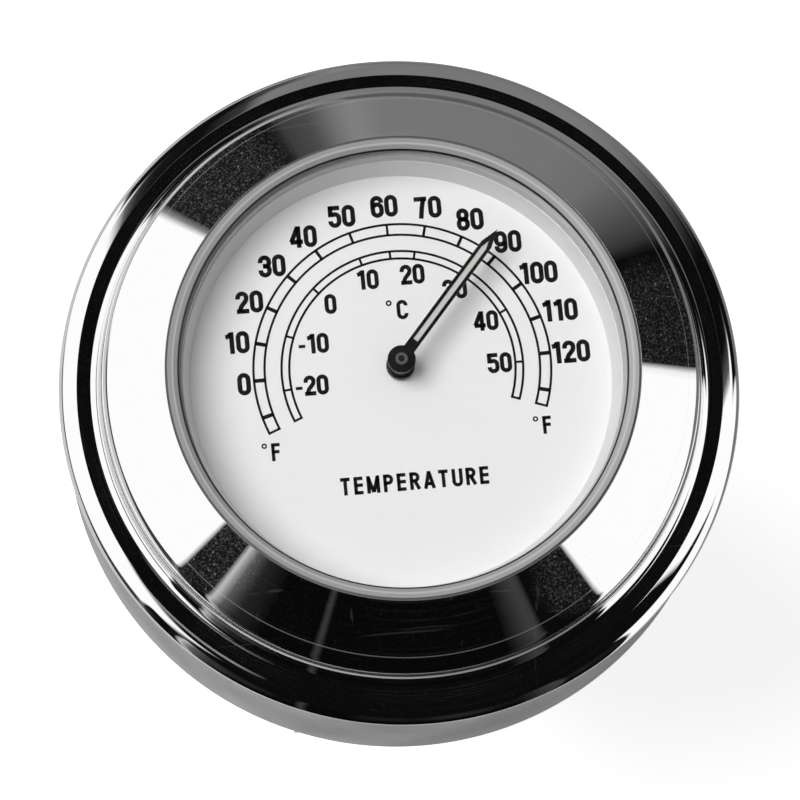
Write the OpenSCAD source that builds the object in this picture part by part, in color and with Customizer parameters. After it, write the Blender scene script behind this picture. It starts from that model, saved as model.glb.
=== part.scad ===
// Round dial thermometer on a clamp for a motorcycle handlebar.
// The origin is on the axis of the bar, which lies along X. The dial faces +Z and its twelve o'clock is +Y.
// Heights named with _z are measured from the axis of the bar.

/* [Bezel] */
// Outer diameter of the bezel's rim
bezel_d = 55; // [54:0.5:56]
// Height of the rim plane above the axis of the bar
rim_z = 33; // [32:0.5:34]
// Radius of the rim's rolled outer edge
roll_r = 1.05; // [0.9:0.05:1.05]
// Radius of the cove between the flat ledge and the crest
cove_r = 0.75; // [0.6:0.05:0.85]
// Radius of the thin crest beside the shoulder
crest_r = 0.25; // [0.2:0.05:0.3]
// Diameter of the shoulder bead, measured over its widest part
shoulder_d = 47.8; // [47.6:0.1:48]
// Radius of the shoulder bead
shoulder_r = 1.2; // [1:0.1:1.4]
// Diameter where the broad cone starts, at its foot
cone_d = 45.6; // [45:0.1:45.8]
// Height of the cone's foot above the rim
cone_foot_h = 4.3; // [4:0.1:4.6]
// Height of the cone's top above the rim
cone_top_h = 7; // [6.6:0.1:7.4]
// Outer diameter of the lip round the window
lip_d = 37.6; // [37:0.2:38]
// Diameter of the window
window_d = 35.4; // [35:0.2:36]

/* [Housing] */
// Outer diameter of the cup
cup_d = 54.8; // [54:0.2:55]
// Depth of the cup from its rim to its back
cup_h = 14.25; // [14:0.25:15]
// Wall thickness of the cup
cup_wall = 2.4; // [2.2:0.1:2.6]
// Thickness of the cup's floor
cup_floor = 2.5; // [2.2:0.1:3]
// Radius of the round edge at the cup's back
cup_edge_r = 1; // [0.5:0.1:1.4]

/* [Glass and dial] */
// Diameter of the glass
glass_d = 38.1; // [38:0.05:38.15]
// Thickness of the glass
glass_t = 1.2; // [1:0.1:1.4]
// Thickness of the gasket under the glass
gasket_t = 1.2; // [1:0.1:1.4]
// Height of the dial's face above the rim
dial_h = 1.7; // [1.5:0.1:1.9]
// Thickness of the dial
dial_t = 0.4; // [0.3:0.1:0.5]
// Distance of the pivot above the middle of the window, as the print sits in the photographed dial
pivot_y = 1; // [0:0.1:1.2]

/* [Pointer] */
// Length of the pointer from the pivot to its tip
pointer_l = 13.2; // [12.6:0.1:13.6]
// Width of the pointer's arm
pointer_w = 0.95; // [0.85:0.05:1.1]
// Width of the pale stripe along the arm
stripe_w = 0.42; // [0.35:0.01:0.5]
// Height of the pointer's plate above the dial
pointer_h = 2.6; // [2.4:0.1:2.7]
// Angle of the pointer clockwise from twelve o'clock, at 88 degrees Fahrenheit
reading_a = 40.9; // [-100:0.1:100]

/* [Movement] */
// Diameter of the steel staff
staff_d = 0.8; // [0.7:0.05:0.9]
// Radial clearance between the staff and its bushes
staff_gap = 0.02; // [0.01:0.01:0.05]
// Number of whole turns of the spiral strip
coil_turns = 7; // [5:1:7]
// Distance from one turn to the next
coil_pitch = 0.95; // [0.85:0.05:1]
// Thickness of the strip
strip_t = 0.35; // [0.3:0.05:0.4]
// Width of the strip
strip_w = 5; // [4:0.5:5.5]
// Distance of each pillar from the staff
pillar_x = 11.5; // [11.2:0.1:12]

/* [Clamp] */
// Diameter of the handlebar
bar_d = 22.2; // [22:0.1:22.4]
// Thickness of the rubber liners
liner_t = 1.6; // [1.5:0.1:1.7]
// Width of the clamp along the bar
clamp_w = 20; // [18:1:22]
// Gap between the two halves of the clamp
clamp_gap = 1.2; // [0.8:0.1:1.6]
// Distance of each bolt from the axis of the bar
bolt_y = 16.9; // [16.8:0.1:17.2]
// Diameter of the clamp bolts
bolt_d = 4; // [4:0.1:4.1]

/* [Hidden] */
$fn = 96;
// Fine play between faces that would coincide, and how far a cut runs past a face
eps = 0.01;
over = 1;

// Levels of the stack under the lip, from the window down
lip_edge_t = 0.6;
lip_top_z = rim_z + cone_top_h;
lip_under_z = lip_top_z - lip_edge_t;
glass_z = lip_under_z - glass_t;
gasket_z = glass_z - gasket_t;
dial_z = rim_z + dial_h;
dial_back_z = dial_z - dial_t;
pointer_z = dial_z + pointer_h;
pointer_t = 0.2;

// Bezel
bezel_r = bezel_d / 2;
ledge_h = 0.55;
ledge_z = rim_z + ledge_h;
roll_c = bezel_r - roll_r;
roll_z = ledge_z - roll_r;
crest_x = 24.2;
crest_h = 1.85;
crest_z = rim_z + crest_h - crest_r;
cove_c = crest_x + cove_r;
cove_z = ledge_z + cove_r;
shoulder_c = shoulder_d / 2 - shoulder_r;
shoulder_z = rim_z + cone_foot_h - shoulder_r;
cone_r = cone_d / 2;
lip_r = lip_d / 2;
window_r = window_d / 2;
edge_c = 0.2;

// Lip: a fine groove at the top of the cone, a narrow crown and a slope down to the window
groove_w = 0.2;
groove_t = 0.15;
groove_slant = 0.05;
crown_w = 0.42;
crown_h = 0.1;
slope_h = 0.3;

// Seat of the glass and the skirt that fits the cup
glass_play = 0.05;
seat_r = glass_d / 2 + glass_play;
seat_z = gasket_z - edge_c;
seat_slope_w = 2.5;
seat_slope_h = 1.7;
bezel_foot_h = 0.75;
bezel_foot_z = rim_z - bezel_foot_h;
skirt_h = 1.4;
skirt_z = rim_z - skirt_h;
skirt_r = 24.95;
skirt_t = 1.45;

// Cup
cup_r = cup_d / 2;
bore_r = cup_r - cup_wall;
cup_top_z = bezel_foot_z;
cup_back_z = cup_top_z - cup_h;
floor_z = cup_back_z + cup_floor;
seat_disc_r = 16;
seat_disc_t = 0.4;
seal_r = bore_r + 0.6;
seal_w = 1.2;
seal_t = 0.5;

// Movement holder and the sleeve under it
holder_r = 24.8;
flange_t = 1;
flange_z = skirt_z - flange_t;
sleeve_t = 1.4;
plate_t = 1.5;
plate_z = dial_back_z - plate_t;
step_r = 22.4;
step_z = rim_z;
dial_r = 19;
ring_low_r = 16.9;
ring_high_r = 17.45;
gasket_r = 17.55;
plate_r = dial_r - 1;

// Movement
staff_r = staff_d / 2;
pivot_r = 0.3;
bush_r = 1.05;
bush_flange_r = 2.2;
bush_flange_t = 0.8;
bridge_t = 1.2;
bridge_h = 3;
bridge_z = floor_z + bridge_h;
bridge_top_z = bridge_z + bridge_t;
bridge_w = 6;
bridge_boss_r = 4.5;
rear_flange_z = bridge_top_z + bush_flange_t / 2;
pillar_r = 1.5;
rivet_r = 0.9;
bridge_screw_r = 0.8;
bridge_screw_l = 3.5;
bridge_screw_play = 0.3;
bridge_head_r = 1.35;
bridge_head_t = 0.8;
slot_w = 0.4;
coil_gap = 1.2;
coil_z = bridge_top_z + coil_gap;
coil_r0 = 2;
coil_sweep = 360 * (coil_turns + 0.25);
coil_step = 10;
coil_r1 = coil_r0 + coil_pitch * coil_sweep / 360;
tab_gap = 0.1;
collet_r = 1.3;
collet_play = 0.1;
collet_z = rear_flange_z + collet_play;
collet_t = plate_z - bush_flange_t - collet_play - collet_z;
post_w = 1.6;
post_out = 1;
post_wrap = 0.15;
post_foot = 0.3;
post_rivet_r = 0.45;

// Pointer
hub_r = 1.15;
hub_gap = 0.25;
disc_r = 1.12;
collar_r = 0.53;
stripe_start = 1.9;
stripe_end = 12;
stripe_point_l = 0.7;
shoulder_l = 11.7;
foot_z = dial_z + hub_gap;
foot_t = 0.5;
foot_step = 0.2;
bore_l = 1;
rivet_h = 0.2;
rivet_c = 0.1;
staff_tail = 0.8;

// Clamp
liner_ir = bar_d / 2;
liner_r = liner_ir + liner_t;
flange_w = 1;
flange_r = liner_r + 0.9;
liner_l = clamp_w + 2 * flange_w;
half_gap = clamp_gap / 2;
liner_gap = 0.3;
ear_y = bolt_y + 5.1;
saddle_ear_z = 8.5;
cap_ear_z = 8.5;
ear_round = 2.2;
cap_r = 16;
fillet_r = 3;
neck_r = 12.5;
neck_z = 10;
seat_rim_t = 1.4;
neck_cove_r = 4.4;
neck_cove_x = seat_disc_r + 0.3;
neck_cove_z = cup_back_z - seat_rim_t - neck_cove_r;
neck_top_z = cup_back_z - 1;
bolt_r = bolt_d / 2;
bolt_hole_r = 2.2;
thread_r = 2.05;
head_r = 3.5;
head_t = 4;
counterbore_r = 3.8;
counterbore_z = -3.6;
washer_t = 0.8;
washer_r = 3.4;
washer_play = 0.1;
split_w = 0.5;
split_a = 30;
bolt_tip_z = 8;
hex_d = 3.46;
hex_depth = 2;
housing_screw_y = 9;
housing_screw_r = 1.5;
housing_head_r = 2.9;
housing_head_t = 1.4;
housing_screw_tip_z = 12.6;
housing_screw_play = 0.6;
cross_l = 2.8;
cross_w = 0.7;
cross_t = 1;

// A ring of rectangular section round Z
module ring(r_in, r_out, z_low, z_high) {
    translate([0, 0, z_low])
        difference() {
            cylinder(r = r_out, h = z_high - z_low);
            translate([0, 0, -over])
                cylinder(r = r_in, h = z_high - z_low + 2 * over);
        }
}

// A cylinder between two heights
module rod(r, z_low, z_high) {
    translate([0, 0, z_low])
        cylinder(r = r, h = z_high - z_low);
}

// Two copies, one each side of the middle along X or Y
module pair_x(x) {
    for (side = [-1, 1])
        translate([side * x, 0, 0])
            children();
}

module pair_y(y) {
    for (side = [-1, 1])
        translate([0, side * y, 0])
            children();
}

// Moves its children to the pivot, which stands off the middle of the window
module at_pivot() {
    translate([0, pivot_y, 0])
        children();
}

// Turns its children to the direction in which the pointer reads
module at_reading() {
    at_pivot()
        rotate([0, 0, -reading_a])
            children();
}

// A quarter of a disc, above and outside its centre
module quarter_round(r) {
    intersection() {
        circle(r = r);
        square(r);
    }
}

// Section of the bezel: rolled rim, flat ledge, cove, crest, shoulder bead, broad cone and stepped lip
module bezel_section() {
    crown_out = lip_r - groove_w;
    crown_in = crown_out - crown_w;
    difference() {
        union() {
            polygon([
                [skirt_r, skirt_z],
                [skirt_r, bezel_foot_z],
                [bezel_r - edge_c, bezel_foot_z],
                [bezel_r, bezel_foot_z + edge_c],
                [bezel_r, roll_z],
                [roll_c, roll_z],
                [roll_c, ledge_z],
                [cove_c, ledge_z],
                [cove_c, cove_z],
                [crest_x, cove_z],
                [crest_x, crest_z],
                [crest_x - crest_r, crest_z],
                [crest_x - crest_r, crest_z + crest_r],
                [shoulder_c + shoulder_r, crest_z + crest_r],
                [shoulder_c + shoulder_r, shoulder_z],
                [shoulder_c, shoulder_z],
                [shoulder_c, shoulder_z + shoulder_r],
                [cone_r, rim_z + cone_foot_h],
                [lip_r, lip_top_z],
                [lip_r - groove_slant, lip_top_z - groove_t],
                [crown_out + groove_slant, lip_top_z - groove_t],
                [crown_out, lip_top_z],
                [crown_in, lip_top_z + crown_h],
                [crown_in - groove_slant, lip_top_z],
                [window_r + edge_c / 2, lip_top_z - slope_h],
                [window_r, lip_top_z - slope_h - edge_c / 2],
                [window_r, lip_under_z],
                [seat_r, lip_under_z],
                [seat_r, seat_z],
                [seat_r + seat_slope_w, seat_z - seat_slope_h],
                [skirt_r - skirt_t, rim_z + edge_c],
                [skirt_r - skirt_t, skirt_z]
            ]);
            translate([roll_c, roll_z])
                quarter_round(roll_r);
            translate([crest_x - crest_r, crest_z])
                quarter_round(crest_r);
            translate([shoulder_c, shoulder_z])
                quarter_round(shoulder_r);
        }
        translate([cove_c, cove_z])
            circle(r = cove_r);
    }
}

module bezel_ring() {
    color("gainsboro")
        rotate_extrude()
            bezel_section();
}

// Flat glass with a small bevel at both edges
module crystal() {
    bevel = 0.15;
    r = glass_d / 2;
    color([0.85, 0.92, 0.95, 0.35])
        rotate_extrude()
            polygon([
                [0, glass_z],
                [r - bevel, glass_z],
                [r, glass_z + bevel],
                [r, lip_under_z - bevel],
                [r - bevel, lip_under_z],
                [0, lip_under_z]
            ]);
}

module crystal_gasket() {
    color("darkgray")
        ring(gasket_r, glass_d / 2, gasket_z, glass_z);
}

// Pale ring whose inner wall leans in towards the dial
module dial_ring() {
    color("white")
        rotate_extrude()
            polygon([
                [ring_low_r, dial_z],
                [dial_r, dial_z],
                [dial_r, gasket_z],
                [ring_high_r, gasket_z]
            ]);
}

module dial_plate() {
    color("whitesmoke")
        difference() {
            rod(dial_r, dial_back_z, dial_z);
            at_pivot()
                rod(bush_r, dial_back_z - over, dial_z + over);
        }
}

// Outline of the pointer's arm, along +Y from the pivot
module arm_outline() {
    polygon([
        [-pointer_w / 2, 0],
        [pointer_w / 2, 0],
        [pointer_w / 2, shoulder_l],
        [0, pointer_l],
        [-pointer_w / 2, shoulder_l]
    ]);
}

// Outline of the slot: straight sides, square at the hub and pointed towards the tip
module stripe_outline() {
    polygon([
        [-stripe_w / 2, stripe_start],
        [stripe_w / 2, stripe_start],
        [stripe_w / 2, stripe_end - stripe_point_l],
        [0, stripe_end],
        [-stripe_w / 2, stripe_end - stripe_point_l]
    ]);
}

// One stamping: disc, arm and slot
module pointer() {
    color("black")
        at_reading()
            translate([0, 0, pointer_z])
                linear_extrude(height = pointer_t)
                    difference() {
                        union() {
                            circle(r = disc_r);
                            arm_outline();
                        }
                        circle(r = collar_r);
                        stripe_outline();
                    }
}

module pointer_stripe() {
    color("ivory")
        at_reading()
            translate([0, 0, pointer_z + pointer_t / 4])
                linear_extrude(height = pointer_t / 2)
                    stripe_outline();
}

// Tube with a wide foot and a narrow collar that is riveted over the disc
module pointer_hub() {
    rivet_z = pointer_z + pointer_t + rivet_h;
    color("black")
        at_pivot()
            rotate_extrude()
                polygon([
                    [staff_r, foot_z],
                    [hub_r, foot_z],
                    [hub_r, foot_z + foot_t],
                    [hub_r - foot_step, foot_z + foot_t + foot_step / 2],
                    [hub_r - foot_step, pointer_z],
                    [collar_r, pointer_z],
                    [collar_r, rivet_z - rivet_c],
                    [collar_r - rivet_c, rivet_z],
                    [pivot_r, rivet_z],
                    [pivot_r, foot_z + bore_l],
                    [staff_r, foot_z + bore_l]
                ]);
}

// Steel spindle: thick through both bushes, thin where the hub sits
module staff() {
    color("silver")
        at_pivot()
            union() {
                rod(staff_r, bridge_z - staff_tail, foot_z + bore_l);
                rod(pivot_r, foot_z, pointer_z + pointer_t + rivet_h / 2);
            }
}

// Turned cup with a round back edge, a groove for the seal and a seat for the saddle
module housing_cup() {
    color("gainsboro")
        difference() {
            rotate_extrude()
                difference() {
                    union() {
                        polygon([
                            [0, cup_back_z],
                            [cup_r - cup_edge_r, cup_back_z],
                            [cup_r - cup_edge_r, cup_back_z + cup_edge_r],
                            [cup_r, cup_back_z + cup_edge_r],
                            [cup_r, cup_top_z - edge_c],
                            [cup_r - edge_c, cup_top_z],
                            [0, cup_top_z]
                        ]);
                        translate([cup_r - cup_edge_r, cup_back_z + cup_edge_r])
                            circle(r = cup_edge_r);
                    }
                    translate([-over, floor_z])
                        square([bore_r + over, cup_h]);
                    translate([seal_r, cup_top_z - seal_t])
                        square([seal_w, cup_h]);
                    translate([-over, cup_back_z - over])
                        square([seat_disc_r + over, over + seat_disc_t]);
                }
            pair_y(housing_screw_y) {
                rod(housing_screw_r, cup_back_z - over, floor_z + over);
                translate([0, 0, floor_z - housing_head_t])
                    cylinder(r1 = housing_screw_r, r2 = housing_head_r, h = housing_head_t);
            }
        }
}

module bezel_seal() {
    color("dimgray")
        ring(seal_r, seal_r + seal_w, cup_top_z - seal_t, cup_top_z);
}

module inner_sleeve() {
    color("dimgray")
        ring(holder_r - sleeve_t, holder_r, floor_z, flange_z);
}

// Moulded holder: flange on the sleeve, wall, step and the plate that carries dial and movement
module movement_holder() {
    color([0.2, 0.2, 0.2])
        difference() {
            rotate_extrude()
                polygon([
                    [0, plate_z],
                    [plate_r, plate_z],
                    [plate_r, step_z - plate_t],
                    [step_r - plate_t, step_z - plate_t],
                    [step_r - plate_t, flange_z],
                    [holder_r, flange_z],
                    [holder_r, skirt_z],
                    [step_r, skirt_z],
                    [step_r, step_z],
                    [dial_r, step_z],
                    [dial_r, dial_back_z],
                    [0, dial_back_z]
                ]);
            at_pivot() {
                rod(bush_r, plate_z - over, dial_back_z + over);
                pair_x(pillar_x)
                    rod(rivet_r, plate_z - over, dial_back_z + over);
                translate([0, coil_r1, 0])
                    rod(post_rivet_r, plate_z - over, dial_back_z + over);
            }
        }
}

// Flanged bush from below, its top flush with the dial
module front_bush() {
    color("goldenrod")
        at_pivot()
            difference() {
                union() {
                    rod(bush_flange_r, plate_z - bush_flange_t, plate_z);
                    rod(bush_r, plate_z - bush_flange_t, dial_z);
                }
                rod(staff_r + staff_gap, plate_z - bush_flange_t - over, dial_z + over);
            }
}

module rear_bush() {
    color("goldenrod")
        at_pivot()
            difference() {
                union() {
                    rod(bush_flange_r, bridge_top_z, rear_flange_z);
                    rod(bush_r, bridge_z, rear_flange_z);
                }
                rod(staff_r + staff_gap, bridge_z - over, rear_flange_z + over);
            }
}

// Bar with round ends, from pillar to pillar
module bridge_plate() {
    color("burlywood")
        at_pivot()
            translate([0, 0, bridge_z])
                linear_extrude(height = bridge_t)
                    difference() {
                        union() {
                            square([2 * pillar_x, bridge_w], center = true);
                            pair_x(pillar_x)
                                circle(r = bridge_w / 2);
                            circle(r = bridge_boss_r);
                        }
                        circle(r = bush_r);
                        pair_x(pillar_x)
                            circle(r = bridge_screw_r);
                    }
}

// Posts with a rivet at the holder and a screw hole at the bridge
module bridge_pillars() {
    color("goldenrod")
        at_pivot()
            pair_x(pillar_x)
                difference() {
                    union() {
                        rod(pillar_r, bridge_top_z, plate_z);
                        rod(rivet_r, bridge_top_z, dial_back_z);
                    }
                    rod(bridge_screw_r, bridge_z, bridge_top_z + bridge_screw_l);
                }
}

module bridge_screws() {
    color("silver")
        at_pivot()
            pair_x(pillar_x)
                difference() {
                    union() {
                        rod(bridge_screw_r, bridge_z, bridge_top_z + bridge_screw_l - bridge_screw_play);
                        rod(bridge_head_r, bridge_z - bridge_head_t, bridge_z);
                    }
                    translate([0, 0, bridge_z - bridge_head_t])
                        cube([2 * bridge_head_r + over, slot_w, bridge_head_t], center = true);
                }
}

// Radius of the strip's middle line after a turn of a degrees
function coil_radius(a) = coil_r0 + coil_pitch * a / 360;

// Point of a spiral that runs beside the middle line at a distance
function coil_point(a, side) = (coil_radius(a) + side) * [cos(a), sin(a)];

// Strip wound on its edge in an even spiral, with a bent tab at each end
module bimetal_coil() {
    half = strip_t / 2;
    outer = [for (a = [0 : coil_step : coil_sweep]) coil_point(a, half)];
    inner = [for (a = [0 : coil_step : coil_sweep]) coil_point(coil_sweep - a, -half)];
    color("peru")
        at_pivot()
            translate([0, 0, coil_z])
                linear_extrude(height = strip_w)
                    union() {
                        polygon(concat(outer, inner));
                        translate([staff_r + tab_gap, -half])
                            square([coil_r0 + half - staff_r - tab_gap, strip_t]);
                        translate([-half, coil_r1 - half])
                            square([strip_t, post_out + half]);
                    }
}

// Collar on the staff with a slot for the strip's inner tab
module coil_collet() {
    half = strip_t / 2;
    color("goldenrod")
        at_pivot()
            translate([0, 0, collet_z])
                difference() {
                    cylinder(r = collet_r, h = collet_t);
                    translate([0, 0, -over])
                        cylinder(r = staff_r, h = collet_t + 2 * over);
                    translate([0, -half - eps, -over])
                        cube([collet_r + over, strip_t + 2 * eps, collet_t + 2 * over]);
                }
}

// Post under the holder, slotted for the strip's outer tab
module anchor_post() {
    half = strip_t / 2;
    color("goldenrod")
        at_pivot()
            translate([0, coil_r1 + half + post_w / 2, 0])
                difference() {
                    union() {
                        translate([-post_w / 2, post_wrap - post_w / 2, coil_z - post_foot])
                            cube([post_w, post_w, plate_z - coil_z + post_foot]);
                        translate([0, -half - post_w / 2, 0])
                            rod(post_rivet_r, plate_z - post_foot, dial_back_z);
                    }
                    translate([-half, -post_w, coil_z - over])
                        cube([strip_t, post_w / 2 + post_out, strip_w + over]);
                }
}

// Outline of the saddle's ears and middle, seen along the bar
module saddle_outline() {
    difference() {
        union() {
            translate([-ear_y, half_gap])
                square([2 * ear_y, saddle_ear_z - half_gap - ear_round]);
            translate([-ear_y + ear_round, half_gap])
                square([2 * (ear_y - ear_round), saddle_ear_z - half_gap]);
            for (side = [-1, 1])
                translate([side * (ear_y - ear_round), saddle_ear_z - ear_round])
                    circle(r = ear_round);
            translate([-neck_r, half_gap])
                square([2 * neck_r, neck_top_z - half_gap]);
            translate([-neck_r - fillet_r, saddle_ear_z - eps])
                square([2 * (neck_r + fillet_r), fillet_r + eps]);
        }
        for (side = [-1, 1])
            translate([side * (neck_r + fillet_r), saddle_ear_z + fillet_r])
                circle(r = fillet_r);
        circle(r = liner_r);
        translate([-ear_y, -liner_r - over])
            square([2 * ear_y, liner_r + over + half_gap]);
    }
}

// Stands a YZ outline up along the bar
module along_bar(width) {
    translate([-width / 2, 0, 0])
        rotate([90, 0, 90])
            linear_extrude(height = width)
                children();
}

// Upper clamp half: ears, neck and the round seat that carries the cup
module saddle() {
    color("gainsboro")
        difference() {
            union() {
                along_bar(clamp_w)
                    saddle_outline();
                rotate_extrude()
                    difference() {
                        translate([0, neck_z])
                            square([seat_disc_r, cup_back_z + seat_disc_t - neck_z]);
                        translate([neck_cove_x, neck_cove_z])
                            circle(r = neck_cove_r);
                        translate([neck_cove_x - neck_cove_r, 0])
                            square([seat_disc_r, neck_cove_z]);
                    }
            }
            along_bar(3 * clamp_w)
                circle(r = liner_r);
            pair_x(clamp_w)
                along_bar(clamp_w)
                    circle(r = flange_r);
            pair_y(bolt_y)
                rod(thread_r, 0, saddle_ear_z + fillet_r);
            pair_y(housing_screw_y)
                rod(housing_screw_r, housing_screw_tip_z - housing_screw_play, cup_back_z + over);
        }
}

module housing_screws() {
    color("silver")
        pair_y(housing_screw_y)
            difference() {
                union() {
                    rod(housing_screw_r, housing_screw_tip_z, floor_z - housing_head_t);
                    translate([0, 0, floor_z - housing_head_t])
                        cylinder(r1 = housing_screw_r, r2 = housing_head_r, h = housing_head_t);
                }
                for (a = [0, 90])
                    rotate([0, 0, a])
                        translate([0, 0, floor_z])
                            cube([cross_l, cross_w, 2 * cross_t], center = true);
            }
}

// Outline of the cap: a round back and two ears, seen along the bar
module cap_outline() {
    difference() {
        union() {
            circle(r = cap_r);
            translate([-ear_y, -cap_ear_z + ear_round])
                square([2 * ear_y, cap_ear_z - ear_round]);
            translate([-ear_y + ear_round, -cap_ear_z])
                square([2 * (ear_y - ear_round), cap_ear_z]);
            for (side = [-1, 1])
                translate([side * (ear_y - ear_round), -cap_ear_z + ear_round])
                    circle(r = ear_round);
        }
        circle(r = liner_r);
        translate([-ear_y - over, -half_gap])
            square([2 * (ear_y + over), cap_r + over + half_gap]);
    }
}

module clamp_cap() {
    color("gainsboro")
        difference() {
            along_bar(clamp_w)
                cap_outline();
            pair_y(bolt_y) {
                rod(bolt_hole_r, -cap_r, over);
                rod(counterbore_r, -cap_r - over, counterbore_z);
            }
        }
}

// Half shell of rubber with a flange over each face of the clamp
module liner_half() {
    difference() {
        union() {
            along_bar(liner_l)
                circle(r = liner_r);
            for (side = [-1, 1])
                translate([side * (clamp_w + flange_w) / 2, 0, 0])
                    along_bar(flange_w)
                        circle(r = flange_r);
        }
        along_bar(liner_l + 2 * over)
            circle(r = liner_ir);
        translate([-liner_l, -flange_r - over, -flange_r - over])
            cube([2 * liner_l, 2 * (flange_r + over), flange_r + over + liner_gap]);
    }
}

module liner_upper() {
    color([0.12, 0.12, 0.12])
        liner_half();
}

module liner_lower() {
    color([0.12, 0.12, 0.12])
        mirror([0, 0, 1])
            liner_half();
}

// Socket head bolts, put in from below
module clamp_bolts() {
    head_top = counterbore_z - washer_t;
    color("silver")
        pair_y(bolt_y)
            difference() {
                union() {
                    rod(bolt_r, head_top - eps, bolt_tip_z);
                    rod(head_r, head_top - head_t, head_top);
                }
                translate([0, 0, head_top - head_t - over])
                    cylinder(d = hex_d, h = hex_depth + over, $fn = 6);
            }
}

// Split washers, the slanted gap turned away from the bar
module lock_washers() {
    color("silver")
        for (side = [-1, 1])
            translate([0, side * bolt_y, 0])
                difference() {
                    ring(bolt_r + washer_play, washer_r, counterbore_z - washer_t, counterbore_z);
                    translate([0, side * washer_r, counterbore_z - washer_t / 2])
                        rotate([0, split_a, 0])
                            cube([split_w, 2 * (washer_r - bolt_r), 3 * washer_t], center = true);
                }
}

bezel_ring();
crystal();
crystal_gasket();
dial_ring();
dial_plate();
pointer();
pointer_stripe();
pointer_hub();
staff();
housing_cup();
bezel_seal();
inner_sleeve();
movement_holder();
front_bush();
rear_bush();
bridge_plate();
bridge_pillars();
bridge_screws();
bimetal_coil();
coil_collet();
anchor_post();
saddle();
housing_screws();
clamp_cap();
liner_upper();
liner_lower();
clamp_bolts();
lock_washers();
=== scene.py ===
"""Looks of the handlebar thermometer: chrome bezel, printed dial, pointer, movement and clamp."""

import math

import bpy
from mathutils import Matrix, Vector


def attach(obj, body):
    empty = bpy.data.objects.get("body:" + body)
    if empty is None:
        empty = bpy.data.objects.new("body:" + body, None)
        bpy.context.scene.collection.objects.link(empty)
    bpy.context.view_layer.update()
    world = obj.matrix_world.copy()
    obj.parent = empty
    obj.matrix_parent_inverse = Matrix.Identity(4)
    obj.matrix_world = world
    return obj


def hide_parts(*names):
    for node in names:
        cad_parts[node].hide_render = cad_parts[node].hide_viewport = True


MM = 0.001
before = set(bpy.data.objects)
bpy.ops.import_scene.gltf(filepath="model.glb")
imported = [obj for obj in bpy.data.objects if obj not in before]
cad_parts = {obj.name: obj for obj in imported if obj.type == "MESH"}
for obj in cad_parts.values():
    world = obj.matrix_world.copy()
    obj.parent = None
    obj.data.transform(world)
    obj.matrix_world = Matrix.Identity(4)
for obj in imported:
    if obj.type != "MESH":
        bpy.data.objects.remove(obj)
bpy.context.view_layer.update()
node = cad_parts

# Real sizes in millimetres, heights from the axis of the bar
RIM_Z = 33.0
PIVOT_Y = 1.0
DIAL_Z = 34.7
STAFF_END_Z = 37.6
RIVET_END_Z = 37.7

# Bezel
BEZEL_R = 27.5
ROLL_R = 1.05
ROLL_SLOPE = math.radians(9)
ROLL_IN = 26.0
ROLL_Z = 33.6
COVE_R = 0.75
COVE_Z = 33.5
CREST_OUT = 24.2
CREST_Z = 34.85
CREST_ROUND = 0.25
SHOULDER_R = 23.9
SHOULDER_ROUND = 1.2
SHOULDER_SLOPE = math.radians(38)
CONE_R = 22.8
CONE_FOOT_Z = 37.3
LIP_R = 18.8
LIP_Z = 40.0
LIP_UNDER_Z = 39.4
GROOVE_W = 0.2
GROOVE_T = 0.15
GROOVE_SLANT = 0.05
CROWN_W = 0.42
CROWN_H = 0.1
SLOPE_H = 0.3
WINDOW_R = 17.7
SEAT_R = 19.1
SEAT_Z = 36.8
INNER_SLOPE_R = 21.6
INNER_SLOPE_Z = 35.1
SKIRT_R = 24.95
SKIRT_IN = 23.5
SKIRT_Z = 31.6
FOOT_Z = 32.25
EDGE = 0.2
TURN_STEPS = 256

# Clamp, seen along the bar: Y runs across it
BORE_R = 12.7
FLANGE_R = 13.6
CLAMP_W = 20.0
HALF_GAP = 0.6
EAR_Y = 22.0
EAR_Z = 8.5
EAR_ROUND = 2.2
CAP_R = 16.0
NECK_Y = 12.5
NECK_FILLET = 3.0
SADDLE_TOP_Z = 17.0
SEAT_DISC_R = 16.0
SEAT_DISC_Z = 18.4
SEAT_COVE_R = 4.4
SEAT_COVE_Z = 12.2
SEAT_COVE_SWEEP = 86
SEAT_COVE_STEPS = 12
SEAT_COVE_OUT = 0.3
SEAT_FOOT_Z = 10.0
BOLT_Y = 16.9
BOLT_R = 2.0
BOLT_HOLE_R = 2.2
BOLT_TIP_Z = 8.0
BOLT_STEPS = 96
TAPPED_PLAY = 0.05
TAPPED_TOP_Z = 12.0
HEAD_R = 3.5
HEAD_Z = (-8.4, -4.4)
HEAD_HOLE_R = 3.8
HEAD_HOLE_Z = -3.6
HEX_R = 1.73
HEX_DEPTH = 2.0
KNURL_SHARE = 0.955
CAST_EDGE = 0.7

# Print on the dial
INK_T = 0.02
SCALE_X = 0.175
SCALE_Y = 0.915
FAHRENHEIT_R = (11.05, 11.94)
CELSIUS_R = (9.07, 9.69)
LINE_W = 0.19
DEGREES_PER_F = 1.493
DEGREES_PER_C = 1.8 * DEGREES_PER_F
MIDDLE_F = 60.57
MIDDLE_C = (MIDDLE_F - 32) / 1.8
SCALE_ENDS = (-112.0, 110.0)
TICK_GROWTH = 0.13
TENS_F = range(-10, 131, 10)
SIXTY_F_IN_C = 15.56
FAHRENHEIT_NUMERALS_R = 13.5
CELSIUS_NUMERALS_R = 7.8
SIDES_OUT = 0.1
SIDES_TURN = 0.6
NUMERALS_BACK = 0.2
ZERO_IN = 0.65
SIGNED_IN = 0.4
FAHRENHEIT_NUMERAL_H = 1.8
CELSIUS_NUMERAL_H = 1.62
NUMERAL_GAP = 0.06
LETTER_GAP = 0.22
WORD_H = 1.42
WORD_PLACE = (9.29, 179.4)

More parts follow.
